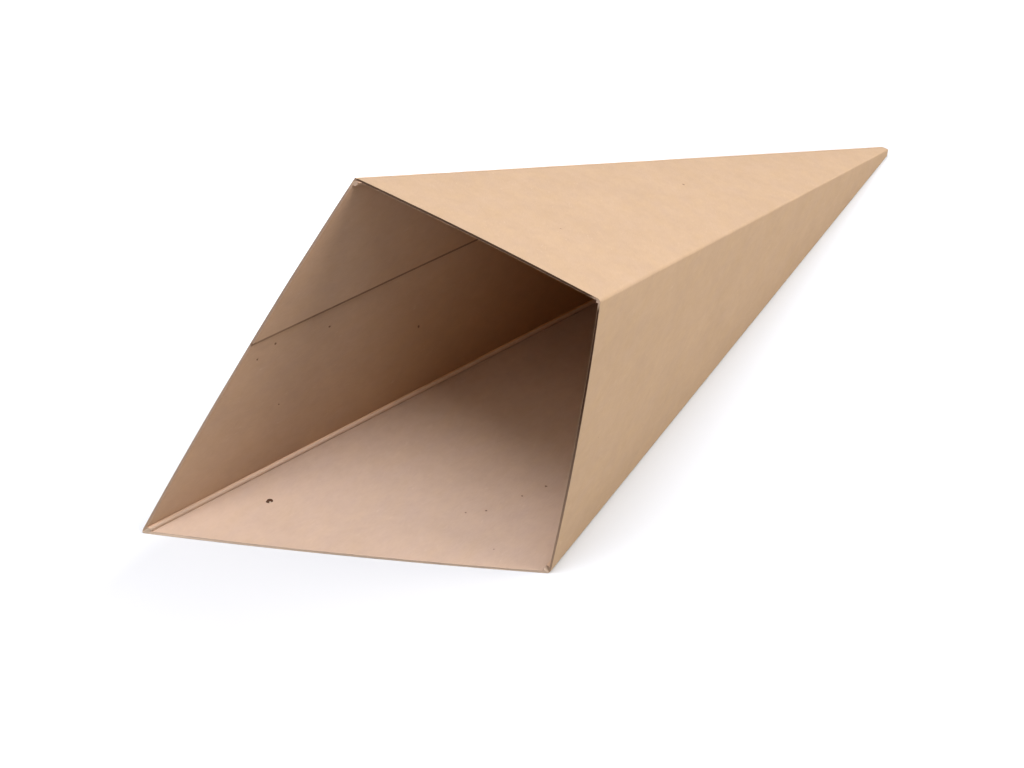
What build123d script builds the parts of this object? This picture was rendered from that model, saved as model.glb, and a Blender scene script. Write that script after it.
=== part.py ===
"""Folded kraft-board fries cone, lying on one of its four panels.

Millimetres, +Z up. The tip points along +X, the mouth opens towards -X, and the origin lies
on the floor under the middle of the cone. One cut sheet makes it all: floor panel, front panel,
top panel, glue flap, and the back panel that is glued over the outside of the flap.
"""

import os
from math import atan, cos, radians, sin, sqrt

from build123d import *

# Board
board = 0.4  # thickness of the sheet
panel_angle = 20.5  # angle of one panel between its two creases, where they would meet

# Creases, measured from the point where the four of them would meet
back_floor_crease = 189.0  # runs to the tall corner that lies at the back
front_floor_crease = 150.0
front_top_crease = 147.5
back_top_crease = 148.5

# How far the middle of a panel stands proud at the mouth, as a share of its width
front_bow = 0.017
top_bow = 0.012
back_bow = 0.005

# Folds: outer radius at the mouth and at the tip, and the round bead pressed inside each
fold_radius = 0.75
tip_fold_radius = 0.45
bead_skin = 0.1  # board left outside the bead
seam_groove = 0.2  # width and depth of the seam beside the back panel's own cut edge

# Cut ends
mouth_sag = 0.009  # rise of each mouth edge between its corners, as a share of its length
tip_cut = 3.8  # from the meeting point of the creases to the blunt tip, along the axis
closed_tip = 9.0  # from that same point to where the four walls stop touching
pressed_flat = 0.01  # lost from each side of the floor panel where it lies flat

# Glue flap, folded in at the back top crease and stuck inside the back panel
flap_start = 78.0  # from the meeting point to where the flap begins, along its crease
flap_angle = 20.0  # between that crease and the flap's free edge

# Room for the cutting shapes to reach past the board, and for two of them to meet
margin = 4.0
lap = 0.5

# The four creases are the edges of a square pyramid. Its axis rises from the floor panel.
crease_tilt_sine = sqrt(2) * sin(radians(panel_angle) / 2)
crease_tilt_tangent = crease_tilt_sine / sqrt(1 - crease_tilt_sine**2)
half_width_rate = crease_tilt_tangent / sqrt(2)  # half the square's side, for each mm of axis
panel_tilt = atan(half_width_rate)
axis_direction = Vector(-cos(panel_tilt), 0, sin(panel_tilt))
open_end = back_floor_crease + margin  # sections reach past the tall corner
wall = board / cos(panel_tilt)  # the board as a section square to the axis shows it


def section_plane(distance):
    """Plane square to the cone's axis, with x towards the front and y upwards."""
    return Plane(origin=axis_direction * distance, x_dir=(0, -1, 0), z_dir=axis_direction)


def crease_direction(front, up):
    """Unit vector along a crease, away from the tip. Front and up are 1 or -1."""
    point = section_plane(1).from_local_coords((front * half_width_rate, up * half_width_rate, 0))
    return Vector(point.X, point.Y, point.Z).normalized()


back_floor = crease_direction(-1, -1)
front_floor = crease_direction(1, -1)
front_top = crease_direction(1, 1)
back_top = crease_direction(-1, 1)


def panel_plane(first, second):
    """Plane of a panel's outer face, with x along its first crease and z towards the inside."""
    return Plane(origin=(0, 0, 0), x_dir=first, z_dir=first.cross(second))


def fold_at(distance):
    """Outer fold radius at a distance along the axis."""
    share = (distance - tip_cut) / (open_end - tip_cut)
    return tip_fold_radius + (fold_radius - tip_fold_radius) * share


def panels_section(distance, inset):
    """The square of the four panels with their bows, drawn a given depth inside the outer face."""
    half = distance * half_width_rate - inset
    with BuildSketch(section_plane(distance)) as sketch:
        with BuildLine():
            Line((-half, -half), (half, -half))
            ThreePointArc((half, -half), (half + 2 * half * front_bow, 0), (half, half))
            ThreePointArc((half, half), (0, half + 2 * half * top_bow), (-half, half))
            ThreePointArc((-half, half), (-half - 2 * half * back_bow, 0), (-half, -half))
        make_face()
    return sketch


def outer_section(distance):
    """Outline of the board, rounded at three folds and grooved at the back panel's cut edge."""
    half = distance * half_width_rate
    cut_face = wall - half
    with BuildSketch(section_plane(distance)) as sketch:
        add(panels_section(distance, 0).sketch_local)
        folds = sketch.vertices().sort_by(lambda corner: corner.Y - corner.X)[:3]
        fillet(folds, radius=fold_at(distance))
        with BuildLine():
            Polyline(
                (cut_face, half - seam_groove),
                (cut_face + 2 * seam_groove, half + seam_groove),
                (cut_face, half + seam_groove),
                close=True,
            )
        make_face(mode=Mode.SUBTRACT)
    return sketch.sketch


def inner_section(distance):
    """Outline of the space inside, with a bead standing in at the three plain folds."""
    fold = fold_at(distance)
    centre = distance * half_width_rate - fold
    with BuildSketch(section_plane(distance)) as sketch:
        add(panels_section(distance, wall).sketch_local)
        with Locations((-centre, -centre), (centre, -centre), (centre, centre)):
            Circle(fold - bead_skin, mode=Mode.SUBTRACT)
    return sketch.sketch


def flap_section(distance):
    """The flap's board against the back panel, and the bead of its fold under the top panel."""
    fold = fold_at(distance)
    half = distance * half_width_rate
    inner = half - 2 * wall
    buried = half - wall / 2
    bow = 2 * half * back_bow
    with BuildSketch(section_plane(distance)) as sketch:
        with BuildLine():
            ThreePointArc((-inner, buried), (-inner - bow, 0), (-inner, -buried))
            Line((-inner, -buried), (-buried, -buried))
            ThreePointArc((-buried, -buried), (-buried - bow, 0), (-buried, buried))
            Line((-buried, buried), (-inner, buried))
        make_face()
        with Locations((fold + wall - half, half - fold)):
            Circle(fold - bead_skin)
    return sketch.sketch


with BuildPart() as glue_flap:
    loft(sections=[flap_section(flap_start / 2), flap_section(open_end)], ruled=True)
    with BuildSketch(panel_plane(back_top, back_floor)):
        with BuildLine():
            edge_run = back_floor_crease * cos(radians(flap_angle))
            edge_rise = back_floor_crease * sin(radians(flap_angle))
            Polyline(
                (flap_start, 0),
                (flap_start + edge_run, edge_rise),
                (flap_start + edge_run, -margin),
                (flap_start, -margin),
                close=True,
            )
        make_face()
    extrude(amount=margin, both=True, mode=Mode.INTERSECT)


# At a crease a panel's mouth cut either runs on past it, or stops short of it, where the
# neighbouring panel reaches further out: how far in the edge ends, and how far the cut runs on
runs_on = (0, margin)
stops_short = (2 * board + lap, lap)
mouth_edges = (
    (back_floor, back_floor_crease, runs_on, front_floor, front_floor_crease, runs_on),
    (front_floor, front_floor_crease, stops_short, front_top, front_top_crease, runs_on),
    (front_top, front_top_crease, runs_on, back_top, back_top_crease, stops_short),
    (back_top, back_top_crease, runs_on, back_floor, back_floor_crease, runs_on),
)

with BuildPart() as inside:
    loft(sections=[inner_section(closed_tip), inner_section(open_end)], ruled=True)
    split(bisect_by=Plane.XY.offset(board + pressed_flat), keep=Keep.TOP)

with BuildPart() as paper_cone:
    loft(sections=[outer_section(tip_cut), outer_section(open_end)], ruled=True)
    split(bisect_by=Plane.XY.offset(pressed_flat), keep=Keep.TOP)
    add(inside.part, mode=Mode.SUBTRACT)
    add(glue_flap.part)
    for first, first_length, first_end, second, second_length, second_end in mouth_edges:
        with BuildSketch(panel_plane(first, second)):
            turn = radians(panel_angle)
            first_along, first_aside = Vector(1, 0), Vector(0, -1)
            second_along, second_aside = Vector(cos(turn), sin(turn)), Vector(-sin(turn), cos(turn))
            start = first_along * first_length - first_aside * first_end[0]
            end = second_along * second_length - second_aside * second_end[0]
            chord = end - start
            middle = (start + end) / 2 + Vector(chord.Y, -chord.X) * mouth_sag
            start_side = start + first_aside * first_end[1]
            end_side = end + second_aside * second_end[1]
            reach = 2 * (open_end - min(first_length, second_length))
            with BuildLine():
                ThreePointArc(start, middle, end)
                Polyline(
                    end,
                    end_side,
                    end_side + second_along * reach,
                    start_side + first_along * reach,
                    start_side,
                    start,
                )
            make_face()
        extrude(amount=margin, both=True, mode=Mode.SUBTRACT)

# The origin goes under the middle of the cone, on the floor
box = paper_cone.part.bounding_box()
shift = Location((-box.center().X, -box.center().Y, -box.min.Z))
finished_cone = paper_cone.part.moved(shift)
finished_cone.label = "paper_cone"

os.makedirs("parts", exist_ok=True)
export_step(finished_cone, "parts/paper_cone.step")
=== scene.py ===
"""Looks of a folded kraft-board fries cone that lies on one of its four panels.

Metres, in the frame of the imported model: +Z up, tip towards +X, mouth towards -X.
The sheet is modelled as board with two faces, rounded folds, crease beads, cut mouth edges
and a glue flap. Its finish is one procedural kraft material.
"""

from math import atan, atan2, cos, hypot, pi, radians, sin, sqrt, tan

import bpy
from mathutils import Matrix, Vector, noise


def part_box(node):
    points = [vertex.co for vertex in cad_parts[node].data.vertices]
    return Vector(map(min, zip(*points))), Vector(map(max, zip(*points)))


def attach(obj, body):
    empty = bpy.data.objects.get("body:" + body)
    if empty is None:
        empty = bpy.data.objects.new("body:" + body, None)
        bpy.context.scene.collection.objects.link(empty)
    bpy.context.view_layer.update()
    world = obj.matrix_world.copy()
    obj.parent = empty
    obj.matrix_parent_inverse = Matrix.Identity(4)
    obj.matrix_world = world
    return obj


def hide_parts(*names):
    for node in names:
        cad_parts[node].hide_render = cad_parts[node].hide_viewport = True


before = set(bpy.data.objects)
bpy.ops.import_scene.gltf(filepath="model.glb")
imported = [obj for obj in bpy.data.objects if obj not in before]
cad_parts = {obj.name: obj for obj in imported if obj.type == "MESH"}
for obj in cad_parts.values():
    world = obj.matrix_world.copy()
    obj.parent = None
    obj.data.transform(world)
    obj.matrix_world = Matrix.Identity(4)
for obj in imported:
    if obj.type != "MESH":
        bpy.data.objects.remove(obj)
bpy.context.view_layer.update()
cad_low, cad_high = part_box("paper_cone")

mm = 0.001

# Board, and the folds between its panels
board = 0.4 * mm
panel_angle = radians(20.5)
fold_radius = 0.75 * mm  # outside, at the mouth
tip_fold_radius = 0.22 * mm

# The round bead that each fold pushes up inside, with a sharp line scored along its feet
bead_radius = 0.5 * mm
bead_taper = 30 * mm  # the beads get thinner over this last stretch before the tip
score_depth = 0.09 * mm
score_width = 0.26 * mm
score_bottom = 0.4  # where the line is deepest, in widths from the bead's foot

# Creases, from the point where the four of them would meet
back_floor_crease = 189.0 * mm
front_floor_crease = 150.0 * mm
front_top_crease = 147.5 * mm
back_top_crease = 148.5 * mm

# Tip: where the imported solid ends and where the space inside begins, how much shorter this tip
# is, and the size and height of the rings that close it
tip_cut = 3.8 * mm
closed_tip = 9.0 * mm
tip_trim = 0.75 * mm
tip_rings = ((0.94, 0.06 * mm), (0.55, 0.1 * mm))

# How far the middle of a panel stands proud, as a share of its width
front_bow = 0.017
top_bow = 0.012
back_bow = 0.005
bow_power = 8  # the higher, the less the bow reaches in from its panel

# Rise of each mouth edge between its corners, as a share of its length
mouth_sag = 0.009

# Seam where the back panel is glued over the flap: from the top panel over its rounded turn into
# the seam, up the back panel's cut edge and over its corner. Depth under the top face and depth
# under the back face, in board thicknesses.
seam_section = (
    (0.0, 2.4), (0.02, 1.9), (0.1, 1.5), (0.28, 1.2), (0.5, 1.04), (0.42, 0.97),
    (0.1, 0.95), (0.05, 0.5), (0.06, 0.12), (0.14, 0.03), (0.4, 0.0),
)
seam_full_from = 4 * board  # half width of the cone from which the seam has its full size
seam_inner_radius = 0.25  # of the corner beside it on the inside, in board thicknesses

# Glue flap: where it begins on its crease, and the angle of its free edge
flap_start = 78.0 * mm
flap_angle = radians(20.0)
flap_left_off = 2.5 * mm  # the thin sliver at its start
flap_reach = 0.45 * mm  # how far its mouth edge stands out past the back panel's
flap_trim = 0.48 * mm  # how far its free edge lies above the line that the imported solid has
flap_depth = 0.8  # of its glued face under the back panel's outer face, in board thicknesses
flap_mouth_rounds = 6  # to close in on its mouth edge

# Thin dark strip below the flap's free edge: a painted shadow that the edge casts on the back
# panel. Its section: height over the back panel's inner face in board thicknesses, and way down
# in widths of the line. The edge hides most of it.
flap_shadow_width = 0.84 * mm
flap_shadow_section = ((0.3, -0.1), (0.1, 0.8), (-0.1, 1.0), (-0.2, 0.0))

# Mouth edges, crushed round by the cutting die: way across the edge, and share of the rise
rim_rise = 0.06 * mm
rim_section = ((0.1, 0.5), (0.5, 1.0), (0.9, 0.5))
edge_fuzz = 0.05 * mm
edge_fuzz_length = 1.6 * mm

# Unevenness of real board, and the places in the noise that it is taken from
cockle_height = 0.12 * mm
cockle_length = 34 * mm
cockle_seat = Vector((3.1, 7.7, 0.4))
fine_cockle = 0.35  # of the height
fine_cockle_rate = 2.7
fold_wander = 0.045 * mm
fold_wander_length = 6 * mm
wander_row = 9.7  # from one fold to the next
wander_layers = (1.3, 41.3)  # forward and upward
wander_at_tip = 0.3  # share of it that is left at the tip
wander_fades = (3, 4)  # over this many points after a fold, and before it

# A dark chip in the inner face of the floor panel, from the meeting point
chip_place = Vector((-165.9, 22.1, 0.4)) * mm
chip_length = 1.5 * mm
chip_width = 1.1 * mm
chip_height = 0.12 * mm
chip_sunk = 0.2  # of the height
chip_along = Vector((0.94, -0.34, 0))
chip_across = Vector((0.34, 0.94, 0))
chip_unevenness = 0.22
chip_unevenness_rate = 1.6
# Painted highlight on one side of the chip: its place, and where it fades
chip_highlight_place = chip_place + Vector((-0.22, -0.34, 0)) * mm  # its pale rim
chip_highlight_span = (0.14 * mm, 0.26 * mm)

# Dark specks with ragged outlines: place from the meeting point and radius, in millimetres
speck_raggedness = 1.6
speck_fade = (0.6, 1.3)  # where a speck begins to fade and where it ends, in radii
specks = (
    (-143.1, -8.5, 0.4, 0.2),
    (-145.8, -6.1, 0.4, 0.13),
    (-131.4, -12.4, 0.4, 0.2),
    (-136.1, -10.8, 0.4, 0.17),
    (-149.6, -15.8, 0.4, 0.12),
    (-155.5, 28.9, 26.0, 0.22),
    (-159.4, 29.5, 24.5, 0.18),
    (-144.3, 26.7, 24.1, 0.22),
    (-125.4, 22.9, 14.7, 0.26),
    (-156.2, 28.4, 12.9, 0.15),
    (-74.5, 1.9, 28.7, 0.24),
    (-118.4, -4.0, 45.6, 0.14),
)

# Painted shade and painted light on the mouth's cut edges: how dark they are at the start and
# the end of the floor, front, top and back panel, before it is kept to these limits: -1 palest,
# 0 as the faces, 1 darkest
edge_painted_shading = ((-0.8, -0.8), (0.3, 1.4), (1.0, 0.85), (0.5, 0.4))
# Painted light on the cut edge round the front-top fold
front_top_fold_painted_light = -0.25
# Painted light on the back panel's cut edge along the seam
seam_painted_light = -0.4
# Painted shade on the flap's cut edges and glued face, and on its bead's cut end
flap_edge_painted_shade = 0.5
flap_bead_painted_shade = 0.2
# How dark the painted shadow under the flap's edge is
flap_shadow_darkness = (0.62, 0.42)  # deep inside, and at the mouth
flap_shadow_fade = 0.25  # share of the flap's length over which it changes

# Painted highlight on the top of the tall corner's bead: how much brighter it is
bead_highlight_strength = 0.42

# Painted shade on the inner faces, warmer and darker, for floor, front, top and back panel: at
# the mouth, and added towards the tip
mouth_inner_shade = (0.0, 0.3, 0.3, 0.3)
added_inner_shade = (0.4, 0.7, 0.7, 0.7)

# Where the bead's painted highlight and the painted shade added inside begin and are whole, as
# shares of the way from the meeting point to the mouth
bead_highlight_span = (0.97, 0.84)
inner_shade_span = (0.94, 0.49)

# Kraft colours
kraft_outside = (0.500, 0.350, 0.230, 1)
kraft_inside = (0.530, 0.380, 0.278, 1)
# Darker, warmer inside colour of the painted shade towards the tip
kraft_inside_shaded = (0.490, 0.262, 0.112, 1)
# Painted shade and painted light, mixed in on cut edges, the flap and the strip under it
painted_edge_shade_colour = (0.070, 0.034, 0.018, 1)
painted_edge_light_colour = (0.740, 0.570, 0.430, 1)
shive_colour = (0.085, 0.040, 0.022, 1)
# Colour of the loose fibres, and of the chip's painted highlight
fibre_and_highlight_colour = (0.640, 0.500, 0.370, 1)

# How much each layer of the finish changes the colour
pulp_strength = 0.2
floc_strength = 0.1
tint_strengths = (0.05, 0.02, -0.12)
fibre_strength = 0.07
loose_fibre_strength = 0.45
shive_strengths = (0.05, 0.4)  # faintest and strongest
speck_strength = 0.75
chip_highlight_strength = 0.7

# Noises of the finish: scale for each millimetre, detail and roughness
pulp_noise = (0.09, 6.0, 0.72)  # clouds some 10 mm across, down to specks under 1 mm
patch_noise = (0.22, 1.0, 0.5)  # where loose fibres lie
outline_noise = (4.0, 1.0, 0.5)  # of the larger specks
relief_noise = (1.6, 3.0, 0.5)

# Grains, which are noises with a direction: its turn, scale along and across it for each
# millimetre, detail and roughness
floc_grain = (0.8, 0.36, 0.52, 2.0, 0.6)
tint_grain = (2.2, 0.16, 0.3, 3.0, 0.6)
fibre_grains = ((0.45, 0.75, 5.5, 1.0, 0.5), (1.9, 0.75, 5.5, 1.0, 0.5))

# Fibres, bent by a slow noise. The loose ones lie on top, and begin and are whole at these values.
fibre_bend = 1.6  # millimetres
fibre_bend_scale = 0.35
loose_span = (0.2, 0.3)
patch_span = (0.02, 0.16)

# Shives: one at most in each cell of a random pattern
shive_spacing = 6.25  # millimetres
shive_share = 0.38  # of the cells
shive_sizes = (0.01, 0.032)  # smallest and largest radius, in cells

# Surface: matt, with a little relief
board_roughness = 0.85
pulp_roughness = 0.2  # added for each unit of pulp
specular_level = 0.1
relief_height = 0.004 * mm  # for each unit of noise
fine_relief = 0.7  # against 1 for the fibres

# Mesh density
stations = 150
flap_stations = 75
side_steps = 36
fold_steps = len(seam_section)  # those on the two scored lines, and the rest on the bead
score_steps = 2
per_panel = fold_steps + side_steps - 1  # points round the section for a fold and its panel
flap_side_steps = 30
flap_steps = fold_steps + flap_side_steps
chip_sides = 20
chip_rings = 3
fold_crowding = 0.12  # how much closer together the points of a panel are near its folds
mouth_crowding = 1.25  # and the rows near the mouth: 1 is even
sharp_from = radians(42)  # folds of the mesh that turn more than this are drawn sharp

# Shifts on the sheet, so that the fibres of the two faces and of the flap differ
inner_sheet_shift = Vector((400, 130)) * mm
flap_sheet_shift = Vector((250, 310)) * mm

# Floor: its colour as the camera sees it, darker before the mouth as a painted shadow, and as
# the cone is lit by it
floor_colour = (0.740, 0.774, 0.808, 1)
floor_painted_shade_by_mouth = (0.658, 0.663, 0.662, 1)
floor_bounce = (0.550, 0.560, 0.570, 1)
floor_mouth_span = (-60 * mm, -48 * mm)  # along X, from the one colour to the other
floor_reach = 4.0
floor_gap = 0.02 * mm  # so that the cone's underside doesn't lie in the floor's plane

# Glow that whitens the floor for the camera: where it begins and is whole, and its strength
glow_behind = (24 * mm, 36 * mm, 0.3)  # along Y
glow_round = (95 * mm, 150 * mm, 0.2)  # away from the origin
glow_far = (250 * mm, 700 * mm, 1.0)

# Soft lamps round the table: azimuth from +X towards +Y, elevation, watts and colour
lamps = (
    ("overhead", 0, 90, 11.9, (0.96, 1.0, 1.12)),
    ("right", -50, 37, 12.7, (1.0, 0.94, 0.845)),
    ("near", -115, 30, 1.1, (1.0, 0.95, 0.88)),
    ("left", 130, 60, 4.2, (1.0, 0.98, 1.0)),
    ("mouth_side", 175, 45, 2.1, (1.0, 0.9, 0.85)),
)
lamp_distance = 1.2
lamp_size = 0.8

# Camera: the photograph's viewing angle
camera_place = Vector((-282.1, -212.8, 286.1)) * mm
camera_heading = radians(39.924)  # of the view direction, from +X towards +Y
camera_dip = radians(39.778)
camera_roll = radians(-0.421)
camera_lens = 84.29
camera_sensor = 36.0
camera_clip = (0.01, 20.0)

# The square pyramid of the creases
crease_tilt_sine = sqrt(2) * sin(panel_angle / 2)
crease_tilt_tangent = crease_tilt_sine / sqrt(1 - crease_tilt_sine**2)
half_rate = crease_tilt_tangent / sqrt(2)  # half the square's side, for each metre of axis
panel_tilt = atan(half_rate)
wall = board / cos(panel_tilt)  # the board as a section square to the axis shows it
axis = Vector((-cos(panel_tilt), 0, sin(panel_tilt)))
forward = Vector((0, -1, 0))
upward = Vector((sin(panel_tilt), 0, cos(panel_tilt)))

# Where the creases would meet, from the frame's box: the tip and the tall corner touch it
corner_round_off = 0.07 * mm
meeting_point = Vector((
    cad_high.x + tip_cut * (cos(panel_tilt) - half_rate * sin(panel_tilt)),
    cad_high.y - back_floor_crease * sin(panel_angle / 2) + corner_round_off,
    cad_low.z,
))

# The panels in order round the section, by their outward normals as (forward, upward), and the
# crease before each. A fold has the number of the panel after it.
floor_panel, front_panel, top_panel, back_panel = range(4)
panel_normals = (Vector((0, -1)), Vector((1, 0)), Vector((0, 1)), Vector((-1, 0)))
crease_lengths = (back_floor_crease, front_floor_crease, front_top_crease, back_top_crease)
tall_fold, front_floor_fold, front_top_fold, glued_fold = range(4)

# How far each bead's centre stands in from the panel before and after it, in bead radii, and
# which of its two feet are scored. The tall corner's bead lies low on the floor panel.
tall_corner_bead = ((0.8, 0.44), (0, 1))
plain_bead = ((0.7, 0.7), (1, 1))
bead_kinds = (tall_corner_bead, plain_bead, plain_bead, plain_bead)
bead_sizes = (1.0, 1.0, 0.5, 0.85)  # shares of the bead radius

# First and last of the steps of a fold that make the top of its bead, or the back panel's edge
bead_top_steps = (3, 7)
seam_edge_steps = (3, 9)


def smooth_step(value):
    value = min(1.0, max(0.0, value))
    return value * value * (3 - 2 * value)


def grown(share, span):
    """From 0 to 1 as a share falls from where a span begins to where it is whole."""
    begin, whole = span
    return smooth_step((begin - share) / (begin - whole))


def place(distance, point):
    """Point of the section square to the cone's axis, at a distance from the meeting point."""
    return meeting_point + axis * distance + forward * point[0] + upward * point[1]


def fold_at(distance):
    """Outer fold radius at a distance along the axis."""
    share = (distance - tip_cut) / (back_floor_crease - tip_cut)
    return tip_fold_radius + (fold_radius - tip_fold_radius) * share


def bowed(point, distance):
    """Moves a section point outward by the bow of the panel that it lies on."""
    across, up = point
    half = distance * half_rate
    width = 2 * half
    side_weight = min(1.0, abs(across) / half) ** bow_power * max(0.0, 1 - (up / half) ** 2)
    top_weight = min(1.0, max(0.0, up) / half) ** bow_power * max(0.0, 1 - (across / half) ** 2)
    side_bow = front_bow if across > 0 else -back_bow
    return Vector((across + side_bow * width * side_weight, up + top_bow * width * top_weight))


def mouth_distance(panel, share):
    """Axis distance of the mouth edge on the line that crosses a panel at this share."""
    first = crease_lengths[panel]
    second = crease_lengths[(panel + 1) % 4]
    half_angle = panel_angle / 2
    start_slant, start_side = first * cos(half_angle), -first * sin(half_angle)
    slant = second * cos(half_angle) - start_slant
    side = second * sin(half_angle) - start_side
    ratio = tan(half_angle) * (2 * min(1.0, max(0.0, share)) - 1)
    along = (ratio * start_slant - start_side) / (side - ratio * slant)
    chord = hypot(slant, side)
    rise = 4 * along * (1 - along) * mouth_sag * chord
    reached = start_slant + along * slant + rise * chord / (side - ratio * slant)
    return reached * cos(panel_tilt)


def turn_point(fold, step, radius, face):
    """Point of the round turn of a fold between two faces that lie this far from the axis."""
    first, second = panel_normals[fold - 1], panel_normals[fold]
    angle = step / (fold_steps - 1) * pi / 2
    centre = (first + second) * (face - radius)
    return centre + (first * cos(angle) + second * sin(angle)) * radius


def outer_fold(fold, step, distance):
    """Point of a fold's outer face. The glued fold shows the back panel's cut edge."""
    half = distance * half_rate
    if fold != glued_fold:
        return turn_point(fold, step, fold_at(distance), half)
    thickness = wall * min(1.0, half / seam_full_from)
    under_top, under_back = seam_section[step]
    top_out, back_out = half - under_top * thickness, half - under_back * thickness
    return panel_normals[top_panel] * top_out + panel_normals[back_panel] * back_out


def score_point(pressed, away, aside, stand, reach, scored):
    """Point of the line at a bead's foot, from the bead's centre: 0 at its rim, 1 at its bottom."""
    side = reach + score_width * (1 - (1 - score_bottom) * pressed)
    return away * (stand + score_depth * scored * pressed) - aside * side


def bead_point(fold, first_face, second_face, distance, step):
    """Point of the bead of a fold, where two inner faces lie this far from the axis."""
    first, second = panel_normals[fold - 1], panel_normals[fold]
    stands, (first_score, second_score) = bead_kinds[fold]
    bead = bead_radius * bead_sizes[fold] * min(1.0, distance / bead_taper)
    first_stand, second_stand = stands[0] * bead, stands[1] * bead
    first_reach, second_reach = sqrt(bead**2 - first_stand**2), sqrt(bead**2 - second_stand**2)
    centre = first * (first_face - first_stand) + second * (second_face - second_stand)
    last = fold_steps - 1
    if step < score_steps:
        return centre + score_point(step, first, second, first_stand, first_reach, first_score)
    if step > last - score_steps:
        step = last - step
        return centre + score_point(step, second, first, second_stand, second_reach, second_score)
    begin = atan2(-first_reach, first_stand)
    end = atan2(second_stand, -second_reach) - 2 * pi
    angle = begin + (end - begin) * (step - score_steps) / (last - 2 * score_steps)
    return centre + (first * cos(angle) + second * sin(angle)) * bead


def inner_fold(fold, step, distance):
    """Point of a fold's inner face: a bead, or a plain corner where the seam is glued."""
    face = distance * half_rate - wall
    if fold == glued_fold:
        return turn_point(fold, step, seam_inner_radius * wall, face)
    return bead_point(fold, face, face, distance, step)


def outline_point(index, distance, fold_shape):
    """Section point number index of one face, before the bow, and the panel that it is on."""
    fold, step = divmod(index, per_panel)
    if step < fold_steps:
        panel = (fold - 1) % 4 if step < fold_steps // 2 else fold
        return fold_shape(fold, step, distance), panel
    start = fold_shape(fold, fold_steps - 1, distance)
    end = fold_shape((fold + 1) % 4, 0, distance)
    share = (step - fold_steps + 1) / side_steps
    share -= fold_crowding * sin(2 * pi * share) / (2 * pi)
    return start.lerp(end, share), fold


def panel_share(point, panel, distance):
    """How far across its panel a section point lies, from the panel's first crease."""
    along = Vector((-panel_normals[panel].y, panel_normals[panel].x))
    half = distance * half_rate
    return min(1.0, max(0.0, (along.dot(point) / half + 1) / 2))


def sheet_position(panel, share, distance):
    """Where a point lies on the flat sheet before folding, as a 2-D place in metres."""
    ratio = tan(panel_angle / 2) * (2 * share - 1)
    order = -1 if panel == back_panel else panel
    angle = order * panel_angle + atan(ratio)
    reach = distance / cos(panel_tilt) * hypot(1, ratio)
    return Vector((reach * cos(angle), reach * sin(angle)))


def cockle(point, panel, distance):
    """Small push of the board at a section point, and the point's place on the flat sheet.

    The push is out or in, nothing at the folds and gentle near the tip. The floor panel is only
    pushed in, off the table.
    """
    share = panel_share(point, panel, distance)
    sheet = sheet_position(panel, share, distance)
    seat = sheet.to_3d() / cockle_length
    height = noise.noise(seat + cockle_seat) + fine_cockle * noise.noise(seat * fine_cockle_rate)
    push = height * cockle_height * 4 * share * (1 - share) * min(1.0, distance / back_top_crease)
    if panel == floor_panel:
        push = -abs(push)
    return panel_normals[panel] * push, sheet


def wander(index, distance):
    """Small sway of the upper folds, as those of hand-folded board are never quite straight."""
    fold, step = divmod(index, per_panel)
    fade_after, fade_before = wander_fades
    beside = max(0.0, 1 - max(0, step - fold_steps + 1) / fade_after)
    to_next = per_panel - step
    if to_next < fade_before:
        fold = (fold + 1) % 4
        beside = 1 - to_next / fade_before
    if fold in (tall_fold, front_floor_fold) or beside == 0:
        return Vector((0, 0))
    seats = [Vector((distance / fold_wander_length, fold * wander_row, z)) for z in wander_layers]
    sway = Vector([noise.noise(seat) for seat in seats])
    return sway * fold_wander * beside * min(1.0, distance / back_top_crease + wander_at_tip)


def fold_of(index, first_step, last_step):
    """The fold that a section point is on, if it lies between these two of its steps."""
    fold, step = divmod(index, per_panel)
    return fold if first_step <= step <= last_step else None


def inner_shade_at(panel, share):
    """Painted shade of an inner face at a share of the way from the meeting point to the mouth."""
    return mouth_inner_shade[panel] + added_inner_shade[panel] * grown(share, inner_shade_span)


def bead_highlight_at(index, share):
    """1 on top of the tall corner's bead, away from the mouth, where it has a painted highlight."""
    return grown(share, bead_highlight_span) if fold_of(index, *bead_top_steps) == tall_fold else 0.0


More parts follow.
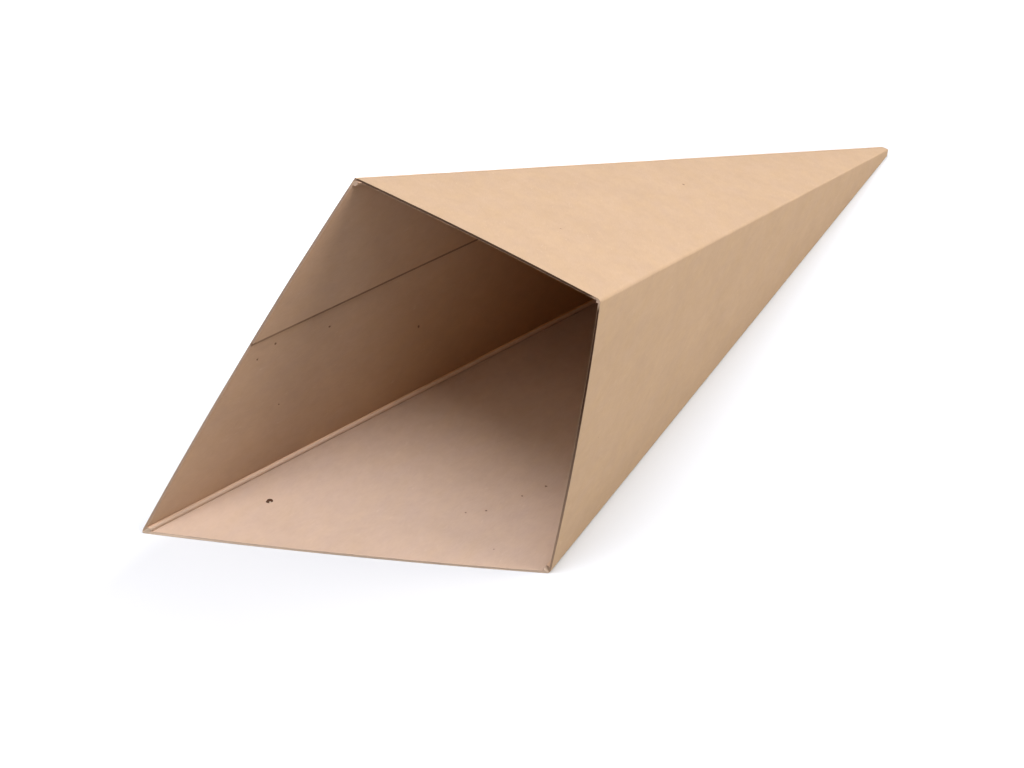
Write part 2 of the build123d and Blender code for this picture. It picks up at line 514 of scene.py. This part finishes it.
class Shell:
    """Vertices and faces of a mesh. Each vertex has a place on the sheet, and its kinds.

    The kinds are numbers that the material reads: how far inside the board's outer face it is,
    how much painted shade it has deep inside, how dark its painted edge shade is (painted light
    below 0), and whether it is on the chip or on the bead's painted highlight.
    """

    kind_names = ("inside", "warmth", "dark", "chip", "ridge")

    def __init__(self):
        self.places = []
        self.sheet = []
        self.faces = []
        self.kinds = {name: [] for name in self.kind_names}

    def add(self, spot, sheet, **kinds):
        """Adds a vertex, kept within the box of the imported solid."""
        kept = [min(high, max(low, value)) for low, high, value in zip(cad_low, cad_high, spot)]
        self.places.append(Vector(kept))
        self.sheet.append(sheet)
        for name, values in self.kinds.items():
            values.append(kinds.get(name, 0.0))
        return len(self.places) - 1

    def join(self, row, next_row, closed=True):
        """Quads between two rows of vertex numbers."""
        count = len(row)
        for i in range(count if closed else count - 1):
            j = (i + 1) % count
            self.faces.append((row[i], row[j], next_row[j], next_row[i]))

    def join_rows(self, rows, closed=True):
        for row, next_row in zip(rows, rows[1:]):
            self.join(row, next_row, closed)

    def cap(self, row, centre, sheet, **kinds):
        """Triangles from a closed row to one point."""
        middle = self.add(centre, sheet, **kinds)
        for i in range(len(row)):
            self.faces.append((row[i], row[(i + 1) % len(row)], middle))

    def middle(self, row):
        return sum((self.places[vertex] for vertex in row), Vector()) / len(row)

    def make(self, name, material):
        mesh = bpy.data.meshes.new(name)
        mesh.from_pydata([tuple(spot) for spot in self.places], [], self.faces)
        mesh.validate()
        layer = mesh.uv_layers.new(name="sheet")
        for loop in mesh.loops:
            layer.data[loop.index].uv = self.sheet[loop.vertex_index] / mm
        for kind, values in self.kinds.items():
            mesh.attributes.new(kind, "FLOAT", "POINT").data.foreach_set("value", values)
        mesh.materials.append(material)
        mesh.shade_smooth()
        mesh.set_sharp_from_angle(angle=sharp_from)
        piece = bpy.data.objects.new(name, mesh)
        bpy.context.scene.collection.objects.link(piece)
        return piece


def mouth_distances(fold_shape):
    """Axis distance of the mouth edge for each point round the section of one face."""
    distances = []
    for index in range(4 * per_panel):
        point, panel = outline_point(index, front_floor_crease, fold_shape)
        distances.append(mouth_distance(panel, panel_share(point, panel, front_floor_crease)))
    return distances


def face_rows(shell, fold_shape, first_distance, inside):
    """Rows of one face of the board, from the tip to the mouth."""
    mouth = mouth_distances(fold_shape)
    rows = []
    for station in range(stations + 1):
        share = 1 - (1 - station / stations) ** mouth_crowding
        row = []
        for index, last_distance in enumerate(mouth):
            distance = first_distance + (last_distance - first_distance) * share
            point, panel = outline_point(index, distance, fold_shape)
            push, sheet = cockle(point, panel, distance)
            spot = place(distance, bowed(point, distance) + wander(index, distance) + push)
            if inside:
                depth = distance / last_distance
                kinds = {"warmth": inner_shade_at(panel, depth), "ridge": bead_highlight_at(index, depth)}
                row.append(shell.add(spot, sheet + inner_sheet_shift, inside=1.0, **kinds))
            else:
                # Painted light on the back panel's cut edge at the seam
                dark = seam_painted_light if fold_of(index, *seam_edge_steps) == glued_fold else 0.0
                row.append(shell.add(spot, sheet, dark=dark))
        rows.append(row)
    return rows


def add_cut_edge(shell, outer_row, inner_row, edge_shading, closed=True):
    """The mouth's cut edge between the two faces, slightly crushed round by the cutting die."""
    last = outer_row
    for across, lift in rim_section:
        row = []
        # Each point's painted edge shade: darker above 0, paler below
        for outside, within, dark in zip(outer_row, inner_row, edge_shading):
            spot = shell.places[outside].lerp(shell.places[within], across)
            away = (spot - meeting_point).normalized()
            fuzz = noise.noise(spot / edge_fuzz_length) * edge_fuzz
            spot = spot + away * (rim_rise * lift + fuzz - rim_rise)
            row.append(shell.add(spot, shell.sheet[outside], inside=across, dark=dark))
        shell.join(last, row, closed)
        last = row
    shell.join(last, inner_row, closed)


def mouth_painted_shading(index):
    """How dark the mouth's cut edge is at a section point: painted shade above 0, painted light
    below.
    """
    if fold_of(index, 0, fold_steps - 1) == front_top_fold:
        return front_top_fold_painted_light
    point, panel = outline_point(index, front_floor_crease, outer_fold)
    share = panel_share(point, panel, front_floor_crease)
    start, end = edge_painted_shading[panel]
    return min(1.0, max(-1.0, start + (end - start) * share))


def add_tip(shell, ring):
    """Closes the blunt tip, from the first ring of the outer face."""
    tip = place(tip_cut + tip_trim, (0, 0))
    first_ring = ring
    for size, rise in tip_rings:
        row = []
        for vertex in first_ring:
            spot = tip + (shell.places[vertex] - tip) * size - axis * rise
            row.append(shell.add(spot, shell.sheet[vertex]))
        shell.join(row, ring)
        ring = row
    shell.cap(ring[::-1], shell.middle(ring), shell.sheet[ring[0]])


def add_sheet(shell):
    """The four panels: outer face, inner face, cut mouth edge, and the closed tip."""
    outer = face_rows(shell, outer_fold, tip_cut + tip_trim, False)
    inner = face_rows(shell, inner_fold, closed_tip, True)
    shell.join_rows(outer)
    shell.join_rows(inner[::-1])
    edge_shading = [mouth_painted_shading(index) for index in range(len(outer[-1]))]
    add_cut_edge(shell, outer[-1], inner[-1], edge_shading)
    add_tip(shell, outer[0])
    shell.cap(inner[0], shell.middle(inner[0]), shell.sheet[inner[0][0]], inside=1.0)


def flap_edge_up(distance):
    """Height in the section of the flap's free edge, on the back panel."""
    half_angle = panel_angle / 2
    slant = distance / cos(panel_tilt)
    run = (slant - flap_start * cos(half_angle)) / cos(flap_angle - half_angle)
    return flap_start * sin(half_angle) - run * sin(flap_angle - half_angle) + flap_trim


def flap_point(step, distance):
    """Point of the flap's visible face, from the top panel over the bead to the free edge."""
    face = distance * half_rate - wall
    if step < fold_steps:
        return bead_point(glued_fold, face, face - wall, distance, step)
    start = bead_point(glued_fold, face, face - wall, distance, fold_steps - 1)
    end_up = min(flap_edge_up(distance), start.y - board)
    share = (step - fold_steps + 1) / flap_side_steps
    return Vector((start.x, start.y + (end_up - start.y) * share))


def flap_mouth_distance(step):
    """Axis distance of the flap's mouth edge, found by closing in on it."""
    distance = back_top_crease
    for _ in range(flap_mouth_rounds):
        share = panel_share(flap_point(step, distance), back_panel, distance)
        distance = mouth_distance(back_panel, share) + flap_reach
    return distance


def flap_distance(share, last):
    """Axis distance at a share of the flap's length, on a line that ends at the last distance."""
    begin = (flap_start + flap_left_off) * cos(panel_tilt) / sqrt(1 + half_rate**2)
    return begin + (last - begin) * share


def add_flap_point(shell, point, distance, last, moved, dark=0.0):
    """Adds a vertex of the flap or its glue line, moved as the cockle moves the board there."""
    push, sheet = moved
    spot = place(distance, bowed(point, distance) + push)
    warmth = inner_shade_at(back_panel, distance / last)
    return shell.add(spot, sheet + flap_sheet_shift, inside=1.0, warmth=warmth, dark=dark)


def add_flap(shell):
    """The glue flap: a strip of board on the inside of the back panel, under the top panel."""
    mouth = [flap_mouth_distance(step) for step in range(flap_steps)]
    visible, glued = [], []
    for station in range(flap_stations + 1):
        visible_row, glued_row = [], []
        for step, last in enumerate(mouth):
            distance = flap_distance(station / flap_stations, last)
            point = flap_point(step, distance)
            moved = cockle(point, back_panel, distance)
            visible_row.append(add_flap_point(shell, point, distance, last, moved))
            deep = distance * half_rate - wall * flap_depth
            point = Vector((-deep, min(point.y, deep)))
            # Painted shade on the flap's glued face and free edge
            dark = flap_edge_painted_shade
            glued_row.append(add_flap_point(shell, point, distance, last, moved, dark))
        visible.append(visible_row)
        glued.append(glued_row)
    shell.join_rows(visible[::-1], closed=False)
    shell.join_rows(glued, closed=False)
    # Free edge, and the edge along the crease
    shell.join([row[-1] for row in glued], [row[-1] for row in visible], closed=False)
    shell.join([row[0] for row in visible], [row[0] for row in glued], closed=False)
    # Mouth end, and the deep end
    # Painted shade on the flap's mouth edge
    edge_shading = [flap_bead_painted_shade] * fold_steps + [flap_edge_painted_shade] * flap_side_steps
    add_cut_edge(shell, glued[-1], visible[-1], edge_shading, closed=False)
    shell.join(glued[0], visible[0], closed=False)


def add_flap_shadow(shell):
    """A thin dark strip below the flap's free edge: painted shadow on the back panel."""
    last = flap_mouth_distance(flap_steps - 1)
    deep_dark, mouth_dark = flap_shadow_darkness
    rows = []
    for station in range(flap_stations + 1):
        share = station / flap_stations
        distance = flap_distance(share, last)
        edge = flap_point(flap_steps - 1, distance)
        moved = cockle(edge, back_panel, distance)
        dark = mouth_dark + (deep_dark - mouth_dark) * smooth_step((1 - share) / flap_shadow_fade)
        row = []
        for height, down in flap_shadow_section:
            back = distance * half_rate - wall * (1 + height)
            point = Vector((-back, edge.y - down * flap_shadow_width))
            row.append(add_flap_point(shell, point, distance, last, moved, dark))
        rows.append(row)
    shell.join_rows(rows)
    shell.faces.append(tuple(rows[0]))
    shell.faces.append(tuple(reversed(rows[-1])))


def add_chip(shell):
    """A chip of dark bark pressed into the floor panel: a low lens, sunk a little in the board."""
    centre = meeting_point + chip_place
    upright = Vector((0, 0, chip_height))
    kinds = {"inside": 1.0, "chip": 1.0}
    rings = []
    for ring in range(1, chip_rings + 1):
        slope = ring / chip_rings * pi / 2
        row = []
        for side in range(chip_sides):
            angle = 2 * pi * side / chip_sides
            seat = Vector((cos(angle), sin(angle), 0.0)) * chip_unevenness_rate
            uneven = 1 + chip_unevenness * noise.noise(seat)
            out = chip_along * cos(angle) * chip_length + chip_across * sin(angle) * chip_width
            spot = centre + out / 2 * sin(slope) * uneven + upright * (cos(slope) - chip_sunk)
            row.append(shell.add(spot, spot.xy, **kinds))
        rings.append(row)
    shell.join_rows(rings)
    top = centre + upright * (1 - chip_sunk)
    foot = centre - Vector((0, 0, board / 2))
    shell.cap(rings[0][::-1], top, Vector((0, 0)), **kinds)
    shell.cap(rings[-1], foot, Vector((0, 0)), **kinds)


class Shader:
    """Short calls for building the nodes of a material or a world."""

    def __init__(self, owner):
        owner.use_nodes = True
        self.tree = owner.node_tree
        self.tree.nodes.clear()

    def node(self, kind, inputs, **settings):
        """New node, with sockets by name or number linked or set to a value."""
        node = self.tree.nodes.new(kind)
        for key, value in settings.items():
            setattr(node, key, value)
        for key, value in inputs.items():
            if isinstance(value, bpy.types.NodeSocket):
                self.tree.links.new(value, node.inputs[key])
            else:
                node.inputs[key].default_value = value
        return node

    def math(self, operation, first, second=0.0, third=0.0):
        inputs = {0: first, 1: second, 2: third}
        return self.node("ShaderNodeMath", inputs, operation=operation).outputs[0]

    def vector_math(self, operation, inputs):
        return self.node("ShaderNodeVectorMath", inputs, operation=operation).outputs

    def attribute(self, name):
        return self.node("ShaderNodeAttribute", {}, attribute_name=name).outputs["Fac"]

    def object_position(self):
        return self.node("ShaderNodeTexCoord", {}).outputs["Object"]

    def camera_sees(self):
        """1 for what the camera sees itself, 0 for what lights other things."""
        return self.node("ShaderNodeLightPath", {}).outputs["Is Camera Ray"]

    def distance(self, position, spot):
        return self.vector_math("DISTANCE", {0: position, 1: spot})["Value"]

    def noise(self, vector, scale, detail, roughness):
        """Smooth noise around 0, within about 0.5 of it."""
        inputs = {"Vector": vector, "Scale": scale, "Detail": detail, "Roughness": roughness}
        return self.math("SUBTRACT", self.node("ShaderNodeTexNoise", inputs).outputs["Fac"], 0.5)

    def grain(self, vector, turn, lengthwise, crosswise, detail, roughness):
        """Noise with its own scale along and across one direction."""
        inputs = {"Vector": vector, "Rotation": (0, 0, turn), "Scale": (lengthwise, crosswise, 1)}
        stretched = self.node("ShaderNodeMapping", inputs).outputs[0]
        return self.noise(stretched, 1.0, detail, roughness)

    def ramp(self, value, low, high, to_low=0.0, to_high=1.0):
        """Smooth change from one number to another as the value goes from low to high."""
        inputs = {
            "Value": value, "From Min": low, "From Max": high, "To Min": to_low, "To Max": to_high,
        }
        node = self.node("ShaderNodeMapRange", inputs, interpolation_type="SMOOTHSTEP")
        return node.outputs[0]

    def between(self, share, low, high):
        return self.math("MULTIPLY_ADD", share, high - low, low)

    def mix(self, share, first, second):
        inputs = {0: share, 6: first, 7: second}
        return self.node("ShaderNodeMix", inputs, data_type="RGBA").outputs[2]

    def brightened(self, colour, value, strength):
        """Colour times 1 + value * strength."""
        factor = self.math("MULTIPLY_ADD", value, strength, 1.0)
        return self.vector_math("SCALE", {0: colour, 3: factor})[0]


def plain_colour(shader):
    """Colour of the faces, cut edges and bead before the grain, with painted light and shade."""
    # Painted shade inside, darker and warmer towards the tip
    inner = shader.mix(shader.attribute("warmth"), kraft_inside, kraft_inside_shaded)
    colour = shader.mix(shader.attribute("inside"), kraft_outside, inner)
    # Painted shade on cut edges, the flap and the strip under it, and painted light below 0
    dark = shader.attribute("dark")
    colour = shader.mix(dark, colour, painted_edge_shade_colour)
    colour = shader.mix(shader.math("MULTIPLY", dark, -1.0), colour, painted_edge_light_colour)
    # Painted highlight on the tall corner's bead
    return shader.brightened(colour, shader.attribute("ridge"), bead_highlight_strength)


def with_flocs(shader, sheet, colour):
    """Flocs of pulp a few millimetres across, and slower changes of tint."""
    colour = shader.brightened(colour, shader.grain(sheet, *floc_grain), floc_strength)
    tint = shader.grain(sheet, *tint_grain)
    factors = [shader.math("MULTIPLY_ADD", tint, strength, 1.0) for strength in tint_strengths]
    factors = shader.node("ShaderNodeCombineXYZ", dict(enumerate(factors))).outputs[0]
    return shader.vector_math("MULTIPLY", {0: colour, 1: factors})[0]


def fibre_noise(shader, sheet):
    """Long thin streaks in two directions."""
    inputs = {"Vector": sheet, "Scale": fibre_bend_scale, "Detail": 1.0}
    bend = shader.node("ShaderNodeTexNoise", inputs).outputs["Color"]
    inputs = {0: bend, 1: (fibre_bend, fibre_bend, fibre_bend), 2: sheet}
    bent = shader.vector_math("MULTIPLY_ADD", inputs)[0]
    return [shader.grain(bent, *fibre_grain) for fibre_grain in fibre_grains]


def with_loose_fibres(shader, sheet, colour, first_way, second_way):
    """A few fibres lie on top, in patches, and are paler."""
    loose = shader.math("MAXIMUM", first_way, second_way)
    loose = shader.ramp(loose, *loose_span, to_high=loose_fibre_strength)
    patches = shader.ramp(shader.noise(sheet, *patch_noise), *patch_span)
    return shader.mix(shader.math("MULTIPLY", loose, patches), colour, fibre_and_highlight_colour)


def small_shives(shader, sheet):
    """How dark the small shives make a place."""
    cells = shader.node("ShaderNodeTexVoronoi", {"Vector": sheet, "Scale": 1 / shive_spacing})
    chances = shader.node("ShaderNodeSeparateColor", {0: cells.outputs["Color"]}).outputs
    chosen = shader.math("GREATER_THAN", chances[0], 1 - shive_share)
    size = shader.between(chances[1], *shive_sizes)
    shive = shader.math("LESS_THAN", cells.outputs["Distance"], size)
    shive = shader.math("MULTIPLY", shive, chosen)
    return shader.math("MULTIPLY", shive, shader.between(chances[2], *shive_strengths))


def with_shives(shader, sheet, position, colour):
    """Small shives at random, and larger specks with ragged outlines, each at its own place."""
    shive = small_shives(shader, sheet)
    uneven = shader.noise(sheet, *outline_noise)
    ragged = shader.math("MULTIPLY_ADD", uneven, speck_raggedness, 1.0)
    for *spot, radius in specks:
        gap = shader.distance(position, meeting_point + Vector(spot) * mm)
        gap = shader.math("MULTIPLY", gap, ragged)
        begin, end = (radius * fade * mm for fade in speck_fade)
        speck = shader.ramp(gap, begin, end, to_low=speck_strength, to_high=0.0)
        shive = shader.math("MAXIMUM", shive, speck)
    return shader.mix(shive, colour, shive_colour)


def with_chip(shader, position, colour):
    """The dark chip, with a painted highlight on one side of it."""
    gap = shader.distance(position, meeting_point + chip_highlight_place)
    chip_highlight = shader.ramp(gap, *chip_highlight_span, to_low=chip_highlight_strength, to_high=0.0)
    chip_colour = shader.mix(chip_highlight, shive_colour, fibre_and_highlight_colour)
    return shader.mix(shader.attribute("chip"), colour, chip_colour)


def kraft_material():
    """Brown kraft board: cloudy pulp, fine fibres that cross each other, and dark shives."""
    material = bpy.data.materials.new("kraft_board")
    shader = Shader(material)
    sheet = shader.node("ShaderNodeUVMap", {}, uv_map="sheet").outputs[0]  # millimetres
    position = shader.object_position()
    pulp = shader.noise(sheet, *pulp_noise)
    first_way, second_way = fibre_noise(shader, sheet)
    fibres = shader.math("ADD", first_way, second_way)
    colour = shader.brightened(plain_colour(shader), pulp, pulp_strength)
    colour = with_flocs(shader, sheet, colour)
    colour = shader.brightened(colour, fibres, fibre_strength)
    colour = with_loose_fibres(shader, sheet, colour, first_way, second_way)
    colour = with_shives(shader, sheet, position, colour)
    colour = with_chip(shader, position, colour)
    relief = shader.math("MULTIPLY_ADD", shader.noise(sheet, *relief_noise), fine_relief, fibres)
    bump = shader.node("ShaderNodeBump", {"Height": relief, "Distance": relief_height})
    inputs = {
        "Base Color": colour,
        "Roughness": shader.math("MULTIPLY_ADD", pulp, pulp_roughness, board_roughness),
        "Specular IOR Level": specular_level,
        "Normal": bump.outputs[0],
    }
    bsdf = shader.node("ShaderNodeBsdfPrincipled", inputs)
    shader.node("ShaderNodeOutputMaterial", {"Surface": bsdf.outputs[0]})
    return material


def make_cone():
    shell = Shell()
    add_sheet(shell)
    add_flap(shell)
    add_flap_shadow(shell)
    add_chip(shell)
    cone = shell.make("fries_cone", kraft_material())
    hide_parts("paper_cone")
    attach(cone, "root")


def floor_material():
    """White; for the camera a painted shadow before the mouth, and whiter where the shadow ends."""
    material = bpy.data.materials.new("floor_white")
    shader = Shader(material)
    position = shader.object_position()
    along, behind = shader.node("ShaderNodeSeparateXYZ", {0: position}).outputs[:2]
    away = shader.vector_math("LENGTH", {0: position})["Value"]
    seen = shader.camera_sees()
    # Painted shadow on the floor before the mouth
    colour = shader.mix(shader.ramp(along, *floor_mouth_span), floor_painted_shade_by_mouth, floor_colour)
    colour = shader.mix(seen, floor_bounce, colour)
    diffuse = shader.node("ShaderNodeBsdfDiffuse", {"Color": colour})
    glow = 0.0
    for way, span in ((behind, glow_behind), (away, glow_round), (away, glow_far)):
        begin, whole, strength = span
        glow = shader.math("ADD", glow, shader.ramp(way, begin, whole, to_high=strength))
    glow = shader.node("ShaderNodeEmission", {"Strength": shader.math("MULTIPLY", glow, seen)})
    both = shader.node("ShaderNodeAddShader", {0: diffuse.outputs[0], 1: glow.outputs[0]})
    shader.node("ShaderNodeOutputMaterial", {"Surface": both.outputs[0]})
    return material


def make_floor():
    """Plain white floor that reaches past every view and keeps the cone's shadow."""
    mesh = bpy.data.meshes.new("floor")
    signs = ((-1, -1), (1, -1), (1, 1), (-1, 1))
    mesh.from_pydata([(x * floor_reach, y * floor_reach, 0) for x, y in signs], [], [(0, 1, 2, 3)])
    mesh.materials.append(floor_material())
    floor = bpy.data.objects.new("floor", mesh)
    floor.location.z = cad_low.z - floor_gap
    bpy.context.scene.collection.objects.link(floor)


def make_backdrop():
    """White for the camera, and no light of its own."""
    world = bpy.data.worlds.new("studio")
    bpy.context.scene.world = world
    shader = Shader(world)
    inputs = {"Color": (1, 1, 1, 1), "Strength": shader.camera_sees()}
    backdrop = shader.node("ShaderNodeBackground", inputs)
    shader.node("ShaderNodeOutputWorld", {"Surface": backdrop.outputs[0]})


def make_lamps():
    for name, azimuth, elevation, power, colour in lamps:
        heading, height = radians(azimuth), radians(elevation)
        away = Vector((cos(heading) * cos(height), sin(heading) * cos(height), sin(height)))
        lamp = bpy.data.lights.new(name, "AREA")
        lamp.shape = "DISK"
        lamp.size = lamp_size
        lamp.energy = power
        lamp.color = colour
        holder = bpy.data.objects.new(name, lamp)
        holder.location = away * lamp_distance
        holder.rotation_mode = "QUATERNION"
        holder.rotation_quaternion = away.to_track_quat("Z", "Y")
        bpy.context.scene.collection.objects.link(holder)


def make_camera():
    data = bpy.data.cameras.new("camera")
    data.sensor_width = camera_sensor
    data.lens = camera_lens
    data.clip_start, data.clip_end = camera_clip
    view = Vector((
        cos(camera_heading) * cos(camera_dip),
        sin(camera_heading) * cos(camera_dip),
        -sin(camera_dip),
    ))
    right = Vector((sin(camera_heading), -cos(camera_heading), 0))
    down = view.cross(right)
    turned_right = right * cos(camera_roll) + down * sin(camera_roll)
    turned_down = down * cos(camera_roll) - right * sin(camera_roll)
    rotation = Matrix((turned_right, -turned_down, -view)).transposed()
    camera = bpy.data.objects.new("camera", data)
    camera.matrix_world = Matrix.Translation(camera_place) @ rotation.to_4x4()
    bpy.context.scene.collection.objects.link(camera)
    bpy.context.scene.camera = camera


make_cone()
make_floor()
make_backdrop()
make_lamps()
make_camera()
bpy.context.scene.view_settings.view_transform = "Standard"
